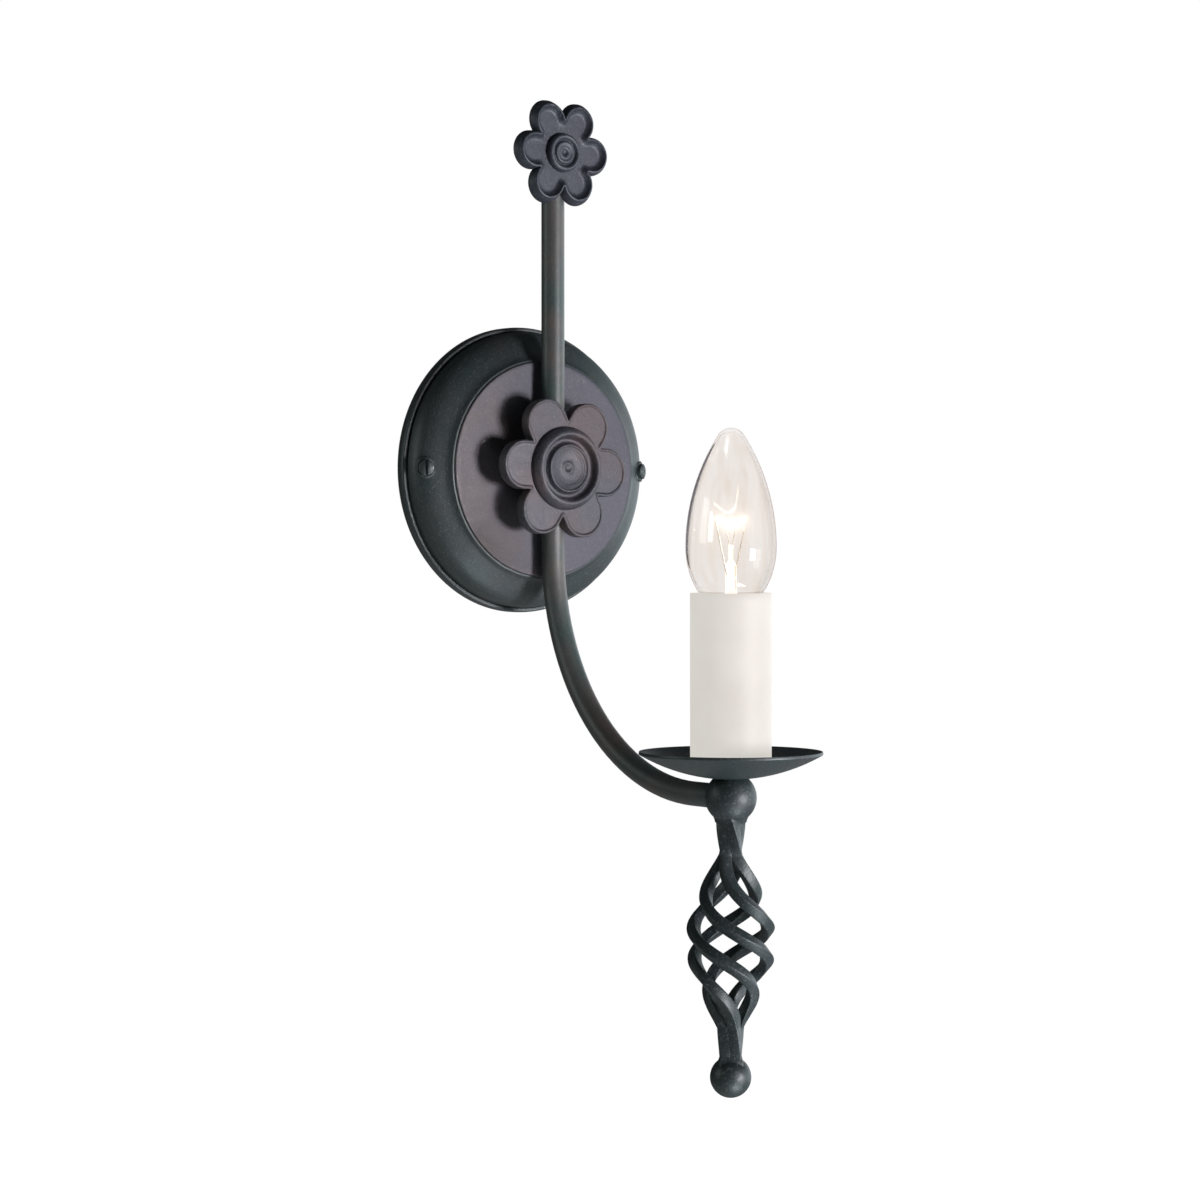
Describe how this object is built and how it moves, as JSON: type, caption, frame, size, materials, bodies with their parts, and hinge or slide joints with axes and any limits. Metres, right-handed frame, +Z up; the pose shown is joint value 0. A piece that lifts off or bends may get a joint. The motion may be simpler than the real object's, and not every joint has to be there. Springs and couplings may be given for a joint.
{
  "type": "wall light",
  "caption": "Torch wall light: round dark metal backplate, bent tube arm with two flower rosettes, candle lamp on a drip pan, twisted open basket with a ball end.",
  "frame": {"origin": "centre of the backplate on the wall plane, midway between the two wall screws", "axes": "+Y into the wall, +Z up, +X to the right seen from the room"},
  "size_m": [0.12, 0.1795, 0.3962],
  "materials": {
    "black_iron": "dark graphite textured paint, satin, with a fine light speckle",
    "zinc_steel": "zinc plated steel",
    "brass": "turned and stamped brass",
    "nickel": "nickel plated",
    "tungsten": "bare tungsten wire",
    "solder": "tin solder",
    "clear_glass": "clear blown glass",
    "stem_glass": "clear pressed glass",
    "black_glass": "black vitrite glass",
    "ivory_card": "ivory moulded plastic, matt",
    "holder_plastic": "cream thermoplastic",
    "white_nylon": "natural nylon",
    "live_insulation": "brown insulation",
    "neutral_insulation": "blue insulation",
    "earth_insulation": "green insulation with a yellow stripe"
  },
  "bodies": {
    "wall_light": {"wall_bracket": "zinc_steel", "earth_screw": "brass", "earth_washer": "brass", "earth_wire": "earth_insulation", "earth_tag": "brass", "terminal_block": "white_nylon", "terminal_barrels": "brass", "terminal_screws": "zinc_steel", "terminal_block_screw": "zinc_steel", "backplate_cover": "black_iron", "side_screw_left": "black_iron", "side_screw_right": "black_iron", "arm_saddle": "black_iron", "hollow_stud": "zinc_steel", "stud_bush": "white_nylon", "stud_washer": "zinc_steel", "stud_nut": "zinc_steel", "arm_tube": "black_iron", "tube_end_cap": "black_iron", "large_flower": "black_iron", "large_flower_boss": "black_iron", "large_flower_stud": "zinc_steel", "small_flower": "black_iron", "small_flower_boss": "black_iron", "small_flower_stud": "zinc_steel", "joint_ball": "black_iron", "threaded_nipple": "zinc_steel", "drip_pan": "black_iron", "nipple_nut": "zinc_steel", "lampholder_cup": "holder_plastic", "lampholder_barrel": "holder_plastic", "screw_shell": "brass", "contact_spring": "brass", "holder_terminals": "brass", "live_core": "live_insulation", "neutral_core": "neutral_insulation", "basket_bar_1": "black_iron", "basket_bar_2": "black_iron", "basket_bar_3": "black_iron", "basket_bar_4": "black_iron", "upper_weld": "black_iron", "lower_weld": "black_iron", "end_ball": "black_iron"},
    "sleeve": {"candle_sleeve": "ivory_card"},
    "lamp_tip": {"lamp_contact": "solder"},
    "lamp": {"lamp_glass": "clear_glass", "lamp_cap": "nickel", "lamp_insulator": "black_glass", "lamp_stem": "stem_glass", "lamp_leads": "nickel", "lamp_filament": "tungsten", "filament_supports": "nickel"}
  },
  "joints": [
    {"name": "sleeve_lift", "type": "slide", "parent": "wall_light", "child": "sleeve", "axis": [0, 0, 1], "range_m": [0, 0.0038]},
    {"name": "lamp_lift", "type": "slide", "parent": "wall_light", "child": "lamp_tip", "axis": [0, 0, 1], "range_m": [0, 0.0085]},
    {"name": "lamp_turn", "type": "hinge", "parent": "lamp_tip", "child": "lamp", "pos_m": [0, -0.144, 0], "axis": [0, 0, 1], "range_deg": [0, 1080]}
  ],
  "couplings": [
    {"joint": "lamp_lift", "follows": "lamp_turn", "m_per_rad": 0.00044882}
  ]
}
